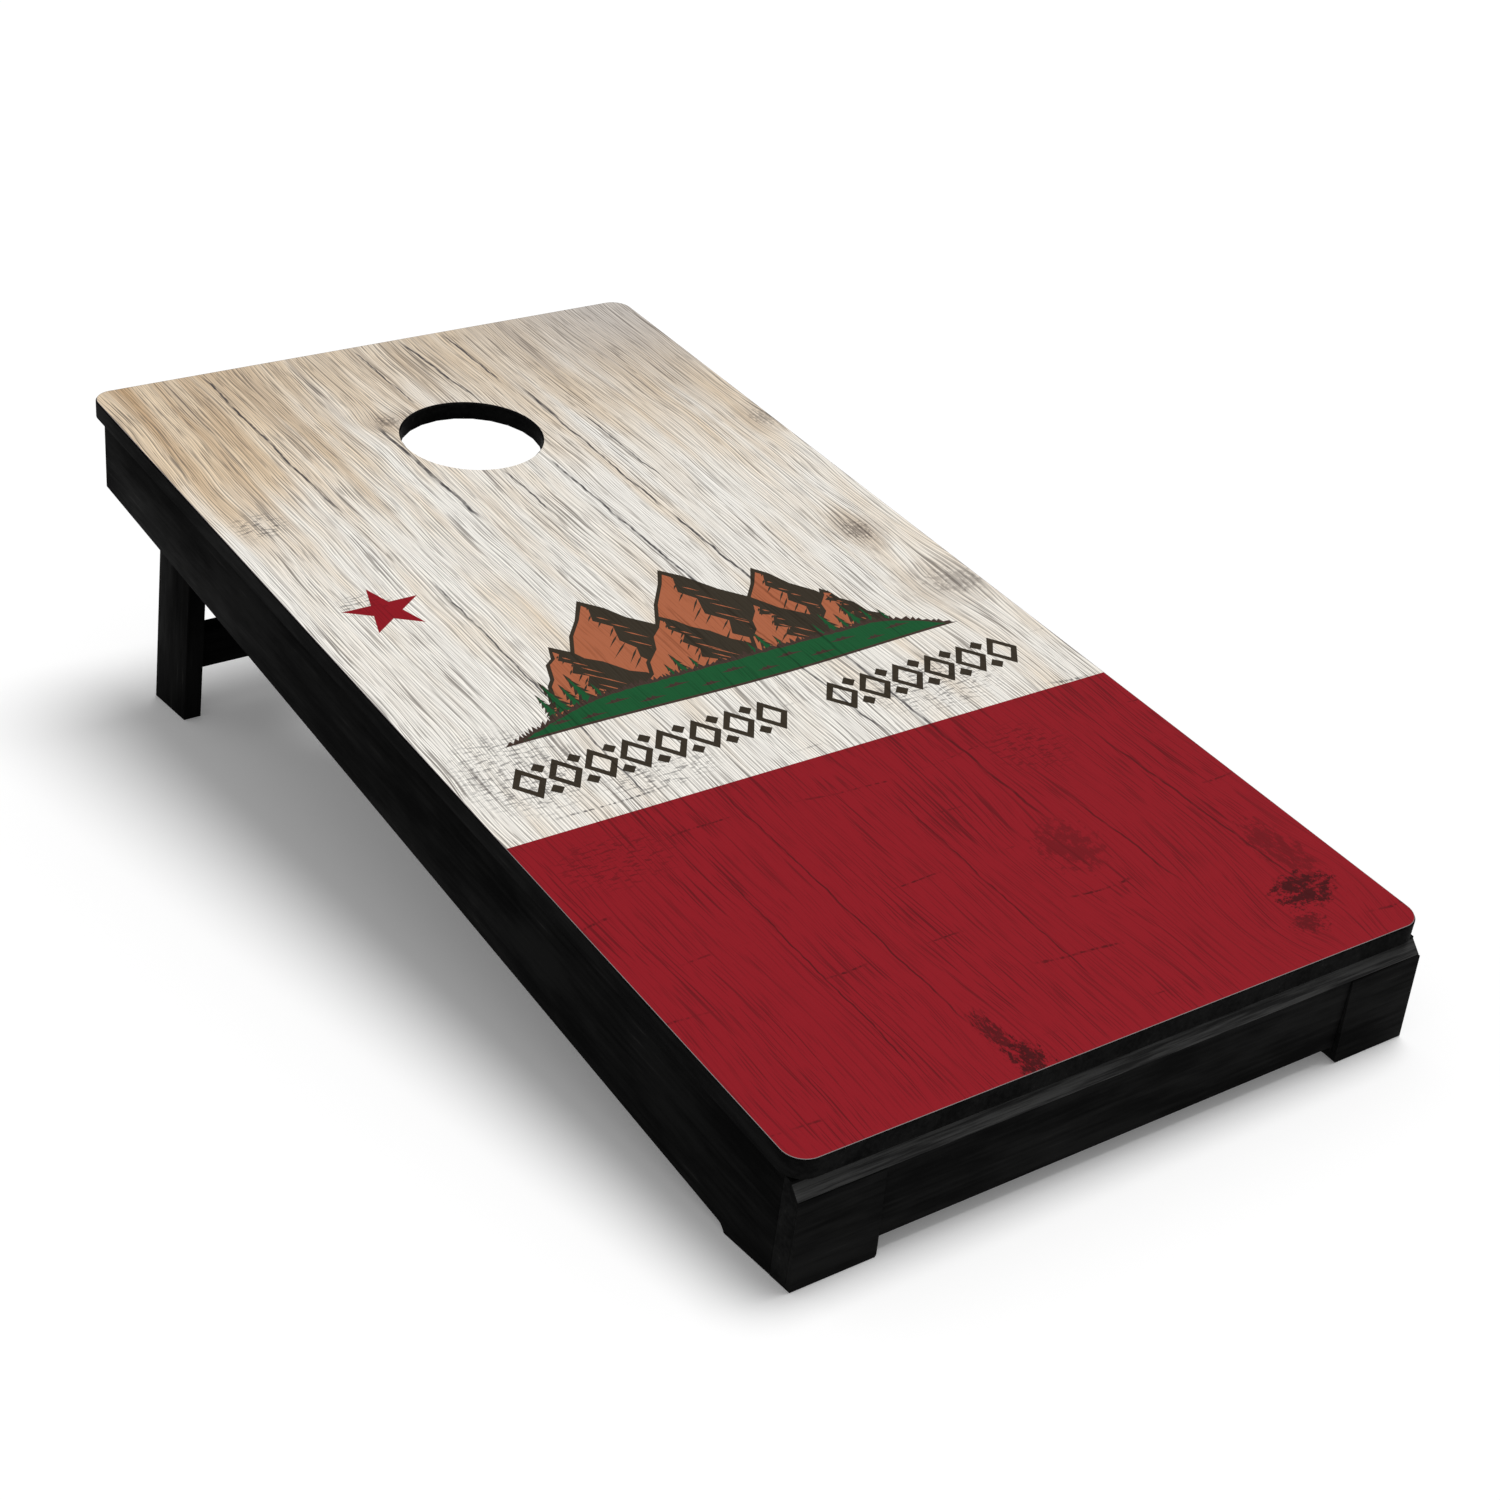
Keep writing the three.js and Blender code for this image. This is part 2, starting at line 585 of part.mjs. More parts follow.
// A hex bolt from inside, through the washer, the leg and the spacer, into the insert.
function pivotBolt(side) {
  const headRadius = BOLT_HEAD_ACROSS_FLATS / Math.sqrt(3);
  const headEnd = BOLT_SEAT_X - BOLT_HEAD_HEIGHT;
  const [chamferIn, chamferAlong] = BOLT_HEAD_CHAMFER;
  const shank = rodAlongX(
    BOLT_RADIUS,
    side * (BOLT_SEAT_X - OVERRUN),
    side * (RAIL_INNER_X + INSERT_LENGTH),
    PIVOT_Y,
    PIVOT_Z,
  );
  const hexagon = rodAlongX(headRadius, side * headEnd, side * BOLT_SEAT_X, PIVOT_Y, PIVOT_Z, 6);
  const dome = new THREE.LatheGeometry([
    new THREE.Vector2(0, BOLT_HEAD_HEIGHT + OVERRUN),
    new THREE.Vector2(headRadius + OVERRUN, BOLT_HEAD_HEIGHT + OVERRUN),
    new THREE.Vector2(headRadius + OVERRUN, chamferAlong),
    new THREE.Vector2(BOLT_HEAD_ACROSS_FLATS / 2 - chamferIn, 0),
    new THREE.Vector2(0, 0),
  ].reverse(), ROUND_SEGMENTS);
  dome.rotateZ(side === RIGHT ? -Math.PI / 2 : Math.PI / 2);
  dome.translate(side * headEnd, PIVOT_Y, PIVOT_Z);
  const head = toSolid(hexagon).intersect(toSolid(dome));
  return toGeometry(head.add(toSolid(shank)));
}

// ---- Legs, in the leg frame ------------------------------------------------------------

const CROSSBAR_BOTTOM = floorInLeg(0) + CROSSBAR_ABOVE_FLOOR;
const CROSSBAR_TOP = CROSSBAR_BOTTOM + CROSSBAR_DEPTH;
const CROSSBAR_END_X = LEG_INNER_X - JOINT_LINE;

const crossbarScrews = {};
for (const [label, side] of SIDES) {
  crossbarScrews[label] = pocketScrews(`crossbar_screw_${label}`, side, CROSSBAR_END_X,
    PLY / 2, -1, pairOfHeights(CROSSBAR_TOP, CROSSBAR_BOTTOM));
}

// A straight leg with a round head about the pivot, cut level at the floor.
function legOutline() {
  const half = LEG_WIDTH / 2;
  const outline = new THREE.Shape();
  outline.moveTo(half, 0);
  outline.absarc(0, 0, half, 0, Math.PI);
  outline.lineTo(-half, floorInLeg(-half));
  outline.lineTo(half, floorInLeg(half));
  return outline;
}

function leg(label, side) {
  const start = side === RIGHT ? LEG_INNER_X : -LEG_OUTER_X;
  const boreStart = side * (LEG_INNER_X - OVERRUN);
  const boreEnd = side * (LEG_OUTER_X + OVERRUN);
  const bore = rodAlongX(LEG_BORE_RADIUS, boreStart, boreEnd, 0, 0);
  return cutAway(extrudeAlongX(legOutline(), start, PLY), [bore, ...holesOf(crossbarScrews[label])]);
}

function crossbar() {
  const section = rectangle(-PLY / 2, CROSSBAR_BOTTOM, PLY / 2, CROSSBAR_TOP);
  return cutAway(extrudeAlongX(section, -CROSSBAR_END_X, 2 * CROSSBAR_END_X), [
    ...holesOf(crossbarScrews.left),
    ...holesOf(crossbarScrews.right),
  ]);
}

// ---- Assembly --------------------------------------------------------------------------

function addMesh(group, name, geometry, material) {
  const mesh = new THREE.Mesh(geometry, material);
  mesh.name = name;
  group.add(mesh);
}

const deckFrame = new THREE.Group();
deckFrame.rotation.x = DECK_SLOPE;

addMesh(deckFrame, 'deck_wrap', deckWrap(), printedVinyl);
addMesh(deckFrame, 'deck_panel', deckPanel(), paintedDeck);
addMesh(deckFrame, 'front_rail', frontRail(), paintedPly);
addMesh(deckFrame, 'rear_rail', rearRail(), paintedPly);
addMesh(deckFrame, 'middle_brace', middleBrace(), paintedPly);
for (const [label, side] of SIDES) {
  addMesh(deckFrame, `side_rail_${label}`, sideRail(label, side), paintedPly);
  addMesh(deckFrame, `front_foot_facing_${label}`, footFacing(side), paintedPly);
  addMesh(deckFrame, `leg_stop_block_${label}`, stopBlock(label, side), paintedPly);
  addMesh(deckFrame, `threaded_insert_${label}`, threadedInsert(side), brass);
  addMesh(deckFrame, `pivot_spacer_${label}`,
    washer(SPACER_RADIUS, SPACER_THICKNESS, SPACER_OUTER_X, side), nylon);
  addMesh(deckFrame, `pivot_washer_${label}`,
    washer(WASHER_RADIUS, WASHER_THICKNESS, WASHER_OUTER_X, side), zincSteel);
  addMesh(deckFrame, `pivot_bolt_${label}`, pivotBolt(side), zincSteel);
  for (const set of [frontRailScrews, rearRailScrews, braceScrews, stopScrews]) {
    set[label].forEach((screw) => deckFrame.add(screw.mesh()));
  }
}
deckScrews.forEach((screw) => deckFrame.add(screw.mesh()));

const legFrame = new THREE.Group();
legFrame.position.set(0, PIVOT_Y, PIVOT_Z);
legFrame.rotation.x = LEG_SPLAY;
addMesh(legFrame, 'leg_crossbar', crossbar(), paintedPly);
for (const [label, side] of SIDES) {
  addMesh(legFrame, `leg_${label}`, leg(label, side), paintedPly);
  crossbarScrews[label].forEach((screw) => legFrame.add(screw.mesh()));
}
deckFrame.add(legFrame);

// The board stands on the floor with its bounding box centred over the origin.
const board = new THREE.Group();
board.add(deckFrame);
deckFrame.position.z = FRONT_EDGE_HEIGHT;
board.updateMatrixWorld(true);
const bounds = new THREE.Box3().setFromObject(board, true);
deckFrame.position.y = -(bounds.min.y + bounds.max.y) / 2;

export default board;
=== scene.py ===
"""Looks of the cornhole board: a printed vinyl wrap on a black painted plywood board."""

import math
import random

import bmesh
import bpy
import numpy as np
from mathutils import Matrix, Vector
from mathutils.geometry import delaunay_2d_cdt


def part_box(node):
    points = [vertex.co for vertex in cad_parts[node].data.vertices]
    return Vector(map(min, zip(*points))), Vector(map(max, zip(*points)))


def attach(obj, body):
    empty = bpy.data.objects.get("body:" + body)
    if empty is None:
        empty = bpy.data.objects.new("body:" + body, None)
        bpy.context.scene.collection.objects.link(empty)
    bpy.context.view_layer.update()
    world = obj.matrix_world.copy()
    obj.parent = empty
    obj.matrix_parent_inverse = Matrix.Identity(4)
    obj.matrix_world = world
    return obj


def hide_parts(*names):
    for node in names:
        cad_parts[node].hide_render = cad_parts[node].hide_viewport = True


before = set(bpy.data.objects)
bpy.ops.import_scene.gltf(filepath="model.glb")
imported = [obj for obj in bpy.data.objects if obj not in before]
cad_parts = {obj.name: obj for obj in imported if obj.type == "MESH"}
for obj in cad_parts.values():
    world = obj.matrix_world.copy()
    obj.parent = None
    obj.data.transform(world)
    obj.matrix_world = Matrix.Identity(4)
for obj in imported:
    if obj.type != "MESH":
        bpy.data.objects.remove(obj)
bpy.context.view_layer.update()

# ---- Sizes in millimetres, angles in radians --------------------------------------------

# One millimetre in metres.
MM = 0.001

DECK_SLOPE = math.radians(9.6)
LEG_SPLAY = math.radians(6.0)
DECK_WIDTH = 610
DECK_LENGTH = 1219

# The wrap: how far it stops short of the deck's edges, and its narrow unprinted hem.
WRAP_INSET = 1
WRAP_CORNER = 19
WRAP_LIFT = 0.3
WRAP_THICKNESS = 0.4
WRAP_HEM = 0.35
HOLE_RADIUS = 70
HOLE_Y = 1002

# The artwork. Places on the deck are x from its middle and y up from its front edge.
BAND_TOP = 395
STAR_CENTRE = (-227, 744)
STAR_RADIUS = 38.5
STAR_POINTS = 5
GROUND_LEFT = (-237, 515)
GROUND_RIGHT = (235, 518)
GROUND_RISE = 35
MOUNTAIN_BASE = 534
PINE_BASE = 540
PINE_TIERS = 5
INK_LINE = 3.6
DARK_STROKES = 11
LIT_STROKES = 8
ORNAMENT_BOTTOM = 440
ORNAMENT_HEIGHT = 46
ORNAMENT_WEIGHT = 6.0

# Runs of the ornament: start x, end x and how many diamonds.
ORNAMENT_RUNS = [(-261, 8, 8), (47, 259, 6)]

# Wooden edges sharper than EASED_ANGLE are eased by EASED_EDGE, and faces that meet at
# less than SMOOTH_ANGLE are shaded as one.
EASED_EDGE = 0.8
EASED_ANGLE = math.radians(40)
SMOOTH_ANGLE = math.radians(25)

# ---- Colours, as sRGB ------------------------------------------------------------------

# Inks: colour, how fully it covers the planks, how far their dark marks show in it.
INKS = {
    "red": ((0.56, 0.065, 0.115), 1.0, 0.92),
    "star": ((0.56, 0.045, 0.105), 1.0, 0.6),
    "brown": ((0.68, 0.375, 0.235), 0.98, 0.55),
    "dark": ((0.185, 0.150, 0.095), 0.99, 0.4),
    "green": ((0.020, 0.325, 0.160), 0.995, 0.6),
    "earth": ((0.215, 0.135, 0.095), 0.98, 0.4),
}

PLANK_WHITE = (0.965, 0.950, 0.920)
PLANK_TAN = (0.915, 0.830, 0.715)
PLANK_GREY = (0.690, 0.655, 0.620)
PLANK_GOLD = (0.740, 0.610, 0.455)
PLANK_BROWN = (0.585, 0.510, 0.435)
# A cool light grey for the rear right: partly the print's tone, partly painted reflection haze.
PLANK_GREY_AND_HAZE = (0.805, 0.780, 0.755)
KNOT_HALO = (0.760, 0.690, 0.610)
KNOT_HEART = (0.36, 0.32, 0.30)
STREAK_DARK = (0.56, 0.51, 0.46)
GRAIN_DARK = (0.43, 0.395, 0.365)
CRACK_DARK = (0.27, 0.26, 0.27)

PAINT_LOW = (0.040, 0.040, 0.040)
PAINT_HIGH = (0.084, 0.084, 0.083)
PAINT_SCUFF = (0.24, 0.235, 0.23)
# Painted highlight on faces that catch the light, such as the front rail's chamfer: its darkest
# and lightest colour.
HIGHLIGHT_LOW = (0.145, 0.145, 0.145)
HIGHLIGHT_HIGH = (0.265, 0.265, 0.263)
SCREW_STEEL = (0.20, 0.20, 0.21)
ZINC = (0.74, 0.75, 0.77)
BRASS = (0.78, 0.64, 0.36)
NYLON_LOW = (0.09, 0.09, 0.09)
NYLON_HIGH = (0.15, 0.15, 0.15)
VINYL_LOW = (0.44, 0.41, 0.41)
VINYL_HIGH = (0.60, 0.57, 0.57)

PAINT_SPECULAR = 0.003
PRINT_SPECULAR = 0.08
INK_SHADE = 0.15


def linear(colour):
    """sRGB to linear RGBA."""
    return [((c + 0.055) / 1.055) ** 2.4 if c > 0.04045 else c / 12.92 for c in colour] + [1.0]


def scaled(colour, factor):
    """A linear RGBA colour made darker or lighter by a factor."""
    return [c * factor for c in colour[:3]] + [1.0]


# ---- Node graphs -----------------------------------------------------------------------


class Graph:
    """Short names for building a node tree."""

    def __init__(self, tree):
        self.tree = tree

    def node(self, kind, inputs=None, **settings):
        """A new node, with its settings and with its inputs linked or set."""
        made = self.tree.nodes.new(kind)
        for key, value in settings.items():
            setattr(made, key, value)
        for key, value in (inputs or {}).items():
            self.feed(made.inputs[key], value)
        return made

    def feed(self, socket, value):
        """Links a socket to another node's output, or sets it to a plain value."""
        if isinstance(value, bpy.types.NodeSocket):
            self.tree.links.new(value, socket)
        else:
            socket.default_value = value

    def math(self, operation, a, b=0.0):
        return self.node("ShaderNodeMath", {0: a, 1: b}, operation=operation).outputs[0]

    def add(self, a, b):
        return self.math("ADD", a, b)

    def sub(self, a, b):
        return self.math("SUBTRACT", a, b)

    def mul(self, a, b):
        return self.math("MULTIPLY", a, b)

    def larger(self, a, b):
        return self.math("MAXIMUM", a, b)

    def weigh(self, *terms):
        """The sum of values, each times its weight."""
        total = self.mul(*terms[0])
        for value, weight in terms[1:]:
            total = self.add(total, self.mul(value, weight))
        return total

    def fit(self, value, low, high, to_low=0.0, to_high=1.0, smooth=True):
        """Maps value from low..high to to_low..to_high, clamped. low may be above high."""
        if low > high:
            low, high, to_low, to_high = high, low, to_high, to_low
        made = self.node(
            "ShaderNodeMapRange",
            {0: value, 1: low, 2: high, 3: to_low, 4: to_high},
            interpolation_type="SMOOTHSTEP" if smooth else "LINEAR",
        )
        return made.outputs[0]

    def vector(self, x, y, z=0.0):
        return self.node("ShaderNodeCombineXYZ", {0: x, 1: y, 2: z}).outputs[0]

    def noise(self, x, y, pitch_x, pitch_y, seed=0.0, detail=2.0, rough=0.5):
        """Noise whose cells are about pitch_x by pitch_y millimetres, from 0 to 1."""
        place = self.vector(self.mul(x, 1 / pitch_x), self.mul(y, 1 / pitch_y), seed)
        made = self.node(
            "ShaderNodeTexNoise",
            {"Vector": place, "Scale": 1.0, "Detail": detail, "Roughness": rough},
        )
        return made.outputs[0]

    def sway(self, amount, *noise):
        """Noise about zero, amount from end to end. The other values are those of noise()."""
        return self.mul(self.sub(self.noise(*noise), 0.5), amount)

    def speckle(self, scale, detail):
        """Even noise over the whole object, with scale cells to the metre."""
        place = self.node("ShaderNodeTexCoord").outputs["Object"]
        made = self.node("ShaderNodeTexNoise", {"Vector": place, "Scale": scale, "Detail": detail})
        return made.outputs[0]

    def mix(self, factor, a, b, blend="MIX"):
        made = self.node("ShaderNodeMix", data_type="RGBA", blend_type=blend)
        self.feed(made.inputs[0], factor)
        self.feed(made.inputs[6], a)
        self.feed(made.inputs[7], b)
        return made.outputs[2]


def new_material(name):
    """An empty node material and the graph to build it with."""
    material = bpy.data.materials.new(name)
    material.use_nodes = True
    material.node_tree.nodes.clear()
    return material, Graph(material.node_tree)


def finish_material(g, colour, roughness, height, bump_mm, specular=0.5, metallic=0.0):
    """Ends a material in a Principled shader, with height as bump."""
    bump = g.node("ShaderNodeBump", {"Height": height, "Strength": 1.0, "Distance": bump_mm * MM})
    shader = g.node("ShaderNodeBsdfPrincipled", {
        "Base Color": colour,
        "Roughness": roughness,
        "Specular IOR Level": specular,
        "Metallic": metallic,
        "Normal": bump.outputs[0],
    })
    g.node("ShaderNodeOutputMaterial", {"Surface": shader.outputs[0]})


# ---- The printed picture of weathered planks -------------------------------------------

# Long cracks: x at the front end, x at the rear end, front y, rear y, width.
CRACKS = [
    (-186, -190, 911, 1219, 2.0),
    (-72, -77, 848, 1060, 2.7),
    (43, 30, 1070, 1219, 2.1),
    (52, 46, 640, 935, 2.0),
    (97, 97, 800, 1073, 1.7),
    (66, 52, 395, 640, 1.6),
    (112, 99, 230, 800, 2.0),
    (-4, -6, 830, 935, 1.6),
    (-166, -168, 400, 777, 1.4),
    (84, 80, 1085, 1219, 1.4),
    (-20, -26, 1074, 1219, 1.3),
    (130, 126, 850, 1010, 1.3),
    (158, 150, 120, 260, 1.5),
    (-106, -110, 60, 395, 1.2),
    (-172, -170, 40, 300, 1.1),
    (12, 16, 60, 330, 1.1),
    (250, 232, 60, 330, 1.6),
]

# Distance between the rows of saw marks, and where they start to fade and are gone.
SAW_PITCH = 63
SAW_FADE = 400
SAW_END = 520

# Knots: centre x, centre y, half width, half height, darkness.
KNOTS = [
    (-63, 1057, 15, 13, 0.65),
    (249, 694, 15, 24, 0.75),
    (278, 580, 34, 26, 0.50),
    (296, 925, 18, 20, 0.50),
    (-90, 14, 19, 28, 1.0),
    (-96, 50, 11, 32, 0.85),
    (241, 74, 38, 26, 1.0),
    (262, 124, 24, 56, 0.5),
    (105, 205, 34, 42, 0.45),
    (215, 40, 20, 16, 0.7),
]

# Patches of short cross ticks: centre x, centre y, half width, half height.
TICKS = [
    (-245, 480, 60, 70),
    (150, 445, 75, 45),
    (-140, 430, 60, 24),
    (165, 330, 45, 42),
    (-240, 760, 30, 20),
    (-235, 345, 60, 40),
    (-265, 920, 30, 25),
]


def ellipse(g, x, y, place):
    """Distance from an ellipse's centre, 1 on its edge, squared."""
    cx, cy, rx, ry = place
    dx = g.mul(g.sub(x, cx), 1 / rx)
    dy = g.mul(g.sub(y, cy), 1 / ry)
    return g.add(g.mul(dx, dx), g.mul(dy, dy))


def knot_marks(g, x, y, grain_x):
    """Bends the grain round the knots. Returns its x, the knots' hearts and their halos."""
    heart = 0.0
    halo = 0.0
    for index, (cx, cy, rx, ry, darkness) in enumerate(KNOTS):
        near = ellipse(g, x, y, (cx, cy, rx * 1.7, ry * 2.2))
        pull = g.math("POWER", math.e, g.mul(near, -1.0))
        grain_x = g.sub(grain_x, g.mul(g.mul(g.sub(x, cx), pull), 0.45))
        edge = g.sway(5.6, x, y, rx * 0.26, ry * 0.34, 7.0 + index, 5.0, 0.8)
        ragged = g.add(ellipse(g, x, y, (cx, cy, rx, ry)), edge)
        heart = g.larger(heart, g.fit(ragged, 0.70, 0.10, 0.0, darkness))
        halo = g.larger(halo, g.fit(ragged, 4.5, 0.6, 0.0, darkness))
    return grain_x, heart, halo


def grain_lines(g, x, y, pitch, length, seed):
    """Crisp dark lines along the grain, and a light and dark relief beside them."""
    here = g.noise(x, y, pitch, length, seed, 1.0, 0.45)
    beside = g.noise(g.add(x, pitch * 0.36), y, pitch, length, seed, 1.0, 0.45)
    return g.fit(here, 0.43, 0.335), g.sub(here, beside)


def crack_lines(g, x, y):
    """Long cracks that wander, swell and thin, and come to a point at both ends."""
    cracks = 0.0
    for index, (x_front, x_rear, y_front, y_rear, width) in enumerate(CRACKS):
        along = g.fit(y, y_front, y_rear, smooth=False)
        wander = g.sway(11, 20.0 * index, y, 60, 55, 9.0, 3.0, 0.6)
        centre = g.add(g.fit(along, 0.0, 1.0, x_front, x_rear, smooth=False), wander)
        off = g.math("ABSOLUTE", g.sub(x, centre))
        ends = g.mul(g.fit(y, y_front - 3, y_front + 25), g.fit(y, y_rear + 3, y_rear - 25))
        thick = g.fit(g.noise(x, y, 300, 16, 11.0 + index), 0.3, 0.6, 0.6, 1.0)
        line = g.mul(g.mul(g.fit(off, width * 0.9, width * 0.4), ends), thick)
        cracks = g.larger(cracks, line)
    return cracks


def cross_ticks(g, x, y):
    """Patches of short ticks across the grain."""
    patches = 0.0
    for place in TICKS:
        patches = g.larger(patches, g.fit(ellipse(g, x, y, place), 1.15, 0.2))
    return g.mul(g.fit(g.noise(x, y, 10.5, 2.9, 13.0, 3.0, 0.6), 0.48, 0.40), patches)


def saw_marks(g, x, y):
    """Broken, slightly bent rows of saw marks across the front planks."""
    bent_y = g.add(y, g.sway(60, x, y, 260, 90, 14.0))
    turn = g.mul(bent_y, 1 / SAW_PITCH)
    off = g.mul(g.math("ABSOLUTE", g.sub(g.math("FRACT", turn), 0.5)), SAW_PITCH)
    off = g.add(off, g.sway(3.0, x, y, 6, 4, 15.0, 3.0, 0.7))
    pieces = g.fit(g.noise(x, g.math("FLOOR", turn), 85, 0.37, 17.0), 0.51, 0.64)
    teeth = g.fit(g.noise(x, y, 3.5, 40, 19.0), 0.35, 0.6)
    marks = g.mul(g.mul(g.fit(off, 1.5, 0.3), pieces), teeth)
    return g.mul(marks, g.fit(y, SAW_END, SAW_FADE))


def plank_tones(g, x, y, grain_x, streak, rear):
    """The planks under their marks: white-washed, and tanned and greyed towards the rear. Towards
    the right the tan and grey are partly the print's tone and partly painted reflection haze.
    """
    left = g.fit(x, -60, -300)
    right = g.fit(x, 40, 300)
    rear_left = g.mul(rear, left)
    rear_right = g.mul(rear, right)
    broad = g.noise(grain_x, y, 26, 480, 4.0)
    blotch = g.noise(x, y, 60, 150, 5.0)
    band = g.noise(grain_x, y, 11, 330, 6.0)

    # Towards the right the planks are tanned and greyed a little more: partly the print's tone,
    # partly painted reflection haze.
    tan_zone = g.weigh((rear_left, 0.58), (rear, 0.42), (right, g.fit(y, 350, 700, 0.06, 0.16)))
    tan = g.fit(g.add(g.weigh((broad, 0.8), (blotch, 0.6)), tan_zone), 0.62, 1.26)
    grey_zone = g.weigh((rear_right, 0.22), (rear, 0.30))
    grey = g.fit(g.add(g.weigh((streak, 0.6), (broad, 0.5)), grey_zone), 0.60, 1.20)
    gold = g.mul(rear_left, g.fit(broad, 0.36, 0.60))
    brown = g.mul(g.fit(band, 0.46, 0.32), g.add(g.mul(rear, 0.75), 0.12))
    # Rear right: a cool light grey, partly the print's own tone and partly painted reflection
    # haze.
    grey_and_haze = g.mul(rear_right, g.fit(y, 1000, 1219, 0.35, 0.85))

    colour = g.mix(tan, linear(PLANK_WHITE), linear(PLANK_TAN))
    colour = g.mix(g.mul(grey, 0.70), colour, linear(PLANK_GREY))
    colour = g.mix(g.mul(gold, 0.9), colour, linear(PLANK_GOLD))
    colour = g.mix(g.mul(brown, 0.48), colour, linear(PLANK_BROWN))
    return g.mix(grey_and_haze, colour, linear(PLANK_GREY_AND_HAZE))


def plank_group():
    """Weathered planks seen from above, at full size, from the deck's own millimetres."""
    tree = bpy.data.node_groups.new("plank_print", "ShaderNodeTree")
    for name, kind in (("Colour", "NodeSocketColor"), ("Dark", "NodeSocketFloat"),
                       ("Height", "NodeSocketFloat")):
        tree.interface.new_socket(name, in_out="OUTPUT", socket_type=kind)
    g = Graph(tree)
    place = g.node("ShaderNodeUVMap", uv_map="deck").outputs[0]
    split = g.node("ShaderNodeSeparateXYZ", {0: place})
    x = g.mul(split.outputs[0], 1 / MM)
    y = g.mul(split.outputs[1], 1 / MM)

    # From 0 on the front and middle of the deck to 1 at its rear edge.
    rear = g.fit(y, 790, 1235)

    # The grain wanders a little, and bends round the knots.
    grain_x = g.add(x, g.sway(22, x, y, 120, 260, 3.1))
    grain_x, heart, halo = knot_marks(g, x, y, grain_x)

    # Grain: crisp lines at two scales with relief beside them, and soft streaks.
    line_wide, relief_wide = grain_lines(g, grain_x, y, 2.1, 110, 21.0)
    line_fine, relief_fine = grain_lines(g, grain_x, y, 1.3, 42, 27.0)
    emboss = g.add(relief_wide, g.mul(relief_fine, 0.7))
    wear = g.noise(grain_x, y, 34, 170, 6.5)
    worn = g.larger(g.fit(wear, 0.34, 0.62, 0.45, 1.0), g.mul(rear, 0.85))
    grain = g.mul(g.larger(line_wide, g.mul(line_fine, 0.75)), worn)
    streak = g.noise(grain_x, y, 5.0, 230, 2.0, 2.0, 0.55)
    streaks = g.fit(streak, 0.40, 0.25)

    # Cracks, ticks and saw marks are one set of dark lines.
    lines = g.larger(crack_lines(g, x, y), g.mul(cross_ticks(g, x, y), 0.62))
    lines = g.larger(lines, saw_marks(g, x, y))

    colour = plank_tones(g, x, y, grain_x, streak, rear)
    for marks, weight, tone in (
        (halo, 0.75, KNOT_HALO),
        (streaks, 0.20, STREAK_DARK),
        (grain, 0.72, GRAIN_DARK),
        (lines, 0.95, CRACK_DARK),
        (heart, 0.80, KNOT_HEART),
    ):
        colour = g.mix(g.mul(marks, weight), colour, linear(tone))
    light = g.fit(emboss, -0.14, 0.14, 0.70, 1.16, smooth=False)
    colour = g.mix(1.0, colour, g.vector(light, light, light), "MULTIPLY")

    dark = g.larger(g.mul(grain, 0.62), g.mul(lines, 0.80))
    dark = g.larger(dark, g.mul(streaks, 0.15))
    dark = g.larger(dark, heart)
    g.node("NodeGroupOutput", {0: colour, 1: dark, 2: emboss})
    return tree


def print_material(name, group, ink=None):
    """The vinyl print: bare planks, or one of INKS, which their dark marks show through."""
    material, g = new_material(name)
    colour, dark, height = g.node("ShaderNodeGroup", node_tree=group).outputs
    if ink is not None:
        tone, cover, shade = ink
        fresh = linear(tone)
        inked = g.mix(g.mul(dark, shade), fresh, scaled(fresh, INK_SHADE))
        colour = g.mix(cover, colour, inked)
    rough = g.fit(height, -0.15, 0.15, 0.60, 0.50)
    finish_material(g, colour, rough, height, bump_mm=0.05, specular=PRINT_SPECULAR)
    return material


def vinyl_edge():
    """The cut edge of the white vinyl."""
    material, g = new_material("vinyl_edge")
    speck = g.speckle(900.0, 2.0)
    colour = g.mix(speck, linear(VINYL_LOW), linear(VINYL_HIGH))
    finish_material(g, colour, 0.5, speck, bump_mm=0.02, specular=0.3)
    return material


# ---- Artwork outlines ------------------------------------------------------------------
# A layer is an outline in the deck's millimetres with the name of its ink or "planks".

rng = random.Random(7)

# Peaks from back to front: apex, and where each flank meets the ground.
MOUNTAINS = [
    ((-66, 690), -176, 40),
    ((112, 676), 10, 186),
    ((30, 707), -86, 150),
    ((-128, 634), -184, -50),
    ((150, 620), 96, 186),
    ((-14, 640), -92, 62),
    ((78, 628), 20, 136),
]

# Conifers: x and height.
PINES = [
    (-176, 34), (-164, 50), (-150, 40), (-138, 52), (-124, 34), (-50, 30),
    (-38, 42), (-24, 32), (36, 34), (50, 44), (64, 30), (108, 36),
    (122, 50), (136, 38), (150, 54), (164, 42), (178, 30),
]

# A tuft's outline: across in half widths, up in millimetres.
TUFT = [
    (-1.0, 0.0), (-0.35, -1.6), (1.0, -0.4), (0.3, 1.5),
    (0.12, 4.0), (-0.1, 1.8), (-0.35, 3.4), (-0.45, 1.2),
]


def rounded_rectangle(x0, y0, x1, y1, radius):
    """A rectangle's outline with arcs of ten steps at its corners."""
    steps = 10
    points = []
    corners = ((x1 - radius, y0 + radius, -90), (x1 - radius, y1 - radius, 0),
               (x0 + radius, y1 - radius, 90), (x0 + radius, y0 + radius, 180))
    for cx, cy, start in corners:
        for step in range(steps + 1):
            angle = math.radians(start + 90 * step / steps)
            points.append((cx + radius * math.cos(angle), cy + radius * math.sin(angle)))
    return points


def circle(cx, cy, radius):
    """A circle's outline, fine enough to look round."""
    steps = 96
    turns = (2 * math.pi * step / steps for step in range(steps))
    return [(cx + radius * math.cos(a), cy + radius * math.sin(a)) for a in turns]


